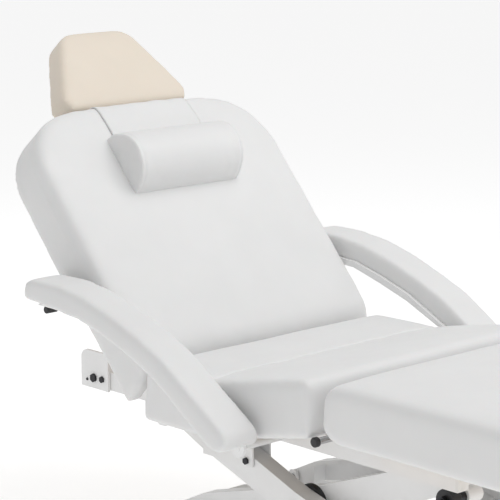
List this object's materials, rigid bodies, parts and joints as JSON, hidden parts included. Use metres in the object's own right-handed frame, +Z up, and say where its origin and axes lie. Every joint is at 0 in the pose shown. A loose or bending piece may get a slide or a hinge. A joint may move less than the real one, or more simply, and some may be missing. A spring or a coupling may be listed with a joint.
{
  "type": "powered reclining treatment chair",
  "caption": "Powered treatment chair with a scissor lift base, seat, reclining back, leg rest, armrests, neck bolster and adjustable headrest.",
  "frame": {"origin": "on the floor, under the middle of the chair's bounding box at rest", "axes": "+Y from the feet towards the head, +Z up, +X across the chair"},
  "size_m": [0.918, 1.7144, 1.0761],
  "materials": {
    "upholstery": "near-white artificial leather, satin, fine grain",
    "headrest_upholstery": "beige artificial leather, satin, fine grain",
    "frame_paint": "white powder coat, fine orange peel",
    "black_plastic": "moulded black nylon",
    "dark_steel": "black oxide",
    "steel": "ground steel",
    "chrome": "polished",
    "plywood": "unpainted birch plywood",
    "white_plastic": "satin moulded plastic",
    "grey_plastic": "textured moulded housing",
    "rubber": "matt rubber"
  },
  "bodies": {
    "base": {"base_rails": "frame_paint", "base_cross_members": "frame_paint", "base_pivot_lugs": "frame_paint", "base_pivot_pins": "steel", "levelling_feet": "rubber", "control_box": "white_plastic", "power_inlet": "black_plastic", "lift_drive_housing": "grey_plastic"},
    "inner_arms": {"inner_arms": "frame_paint", "inner_cross_tube": "frame_paint", "upper_axles": "dark_steel"},
    "upper_rollers": {"upper_rollers": "black_plastic"},
    "outer_arms": {"outer_arms": "frame_paint", "outer_cross_tube": "frame_paint", "middle_pins": "steel", "pivot_washers": "black_plastic", "lower_shaft": "steel"},
    "lower_rollers": {"lower_rollers": "black_plastic"},
    "lift_drive_rod": {"lift_drive_rod": "steel"},
    "seat_frame": {"side_rails": "frame_paint", "frame_cross_members": "frame_paint", "frame_hinge_lugs": "frame_paint", "frame_hinge_pins": "steel", "frame_bolts": "dark_steel", "rail_end_plugs": "white_plastic", "pivot_boxes": "frame_paint", "rear_lugs": "frame_paint", "seat_board": "plywood", "seat_cushion": "upholstery", "armrest_outriggers": "frame_paint", "hinge_caps": "black_plastic", "leg_hinge_shaft": "steel", "leg_rest_pads": "rubber", "back_drive_housing": "grey_plastic", "leg_drive_housing": "grey_plastic"},
    "back_drive_rod": {"back_drive_rod": "steel"},
    "leg_drive_rod": {"leg_drive_rod": "steel"},
    "back": {"back_board": "plywood", "back_cushion": "upholstery", "back_frame_sides": "frame_paint", "back_frame_cross_members": "frame_paint", "back_hinge_brackets": "frame_paint", "headrest_sleeves": "frame_paint", "arm_supports": "frame_paint", "arm_bumpers": "black_plastic", "neck_bolster": "upholstery", "bolster_flap": "upholstery"},
    "headrest_carrier": {"headrest_carrier": "frame_paint", "headrest_posts": "chrome"},
    "headrest": {"headrest_cushion": "headrest_upholstery", "headrest_plate": "frame_paint"},
    "armrest_left": {"armrest_pad_left": "upholstery", "armrest_bracket_left": "frame_paint"},
    "armrest_right": {"armrest_pad_right": "upholstery", "armrest_bracket_right": "frame_paint"},
    "leg_rest": {"leg_cushion": "upholstery", "leg_board": "plywood", "leg_frame_sides": "frame_paint", "leg_frame_cross_members": "frame_paint", "leg_hinge_brackets": "frame_paint"}
  },
  "joints": [
    {"name": "lift", "type": "hinge", "parent": "base", "child": "inner_arms", "pos_m": [0, 0.28784, 0.092], "axis": [-1, 0, 0], "range_deg": [0, 25]},
    {"name": "scissor_middle", "type": "hinge", "parent": "inner_arms", "child": "outer_arms", "pos_m": [0, -0.10716, 0.198], "axis": [1, 0, 0], "range_deg": [0, 50]},
    {"name": "scissor_top", "type": "hinge", "parent": "outer_arms", "child": "seat_frame", "pos_m": [0, 0.28784, 0.304], "axis": [-1, 0, 0], "range_deg": [0, 25]},
    {"name": "lift_rod_eye", "type": "hinge", "parent": "outer_arms", "child": "lift_drive_rod", "pos_m": [0, -0.50216, 0.092], "axis": [-1, 0, 0], "range_deg": [0, 25]},
    {"name": "upper_rollers_spin", "type": "hinge", "parent": "inner_arms", "child": "upper_rollers", "pos_m": [0, -0.50216, 0.304], "axis": [1, 0, 0], "continuous": true},
    {"name": "lower_rollers_spin", "type": "hinge", "parent": "outer_arms", "child": "lower_rollers", "pos_m": [0, -0.50216, 0.092], "axis": [1, 0, 0], "continuous": true},
    {"name": "back_recline", "type": "hinge", "parent": "seat_frame", "child": "back", "pos_m": [0, 0.28284, 0.388], "axis": [-1, 0, 0], "range_deg": [-12, 44]},
    {"name": "back_drive_slide", "type": "slide", "parent": "seat_frame", "child": "back_drive_rod", "axis": [0, 1, 0], "range_m": [-0.046, 0.014]},
    {"name": "armrest_left_swing", "type": "hinge", "parent": "seat_frame", "child": "armrest_left", "pos_m": [-0.358, -0.06716, 0.339], "axis": [-1, 0, 0], "range_deg": [-5, 18]},
    {"name": "armrest_right_swing", "type": "hinge", "parent": "seat_frame", "child": "armrest_right", "pos_m": [0.358, -0.06716, 0.339], "axis": [-1, 0, 0], "range_deg": [-5, 18]},
    {"name": "leg_raise", "type": "hinge", "parent": "seat_frame", "child": "leg_rest", "pos_m": [0, -0.26416, 0.388], "axis": [-1, 0, 0], "range_deg": [0, 15]},
    {"name": "leg_drive_slide", "type": "slide", "parent": "seat_frame", "child": "leg_drive_rod", "axis": [0, 1, 0], "range_m": [-0.017, 0.002]},
    {"name": "headrest_slide", "type": "slide", "parent": "back", "child": "headrest_carrier", "axis": [0, 0.6574, 0.7536], "range_m": [0, 0.08]},
    {"name": "headrest_tilt", "type": "hinge", "parent": "headrest_carrier", "child": "headrest", "pos_m": [0, 0.77062, 0.90978], "axis": [-1, 0, 0], "range_deg": [0, 35]}
  ],
  "couplings": [
    {"joint": "scissor_middle", "follows": "lift", "ratio": 2},
    {"joint": "scissor_top", "follows": "lift", "ratio": 1},
    {"joint": "lift_rod_eye", "follows": "lift", "ratio": 1},
    {"joint": "back_drive_slide", "follows": "back_recline", "m_per_rad": -0.0579},
    {"joint": "armrest_left_swing", "follows": "back_recline", "ratio": 0.385},
    {"joint": "armrest_right_swing", "follows": "back_recline", "ratio": 0.385},
    {"joint": "leg_drive_slide", "follows": "leg_raise", "m_per_rad": -0.05983}
  ]
}
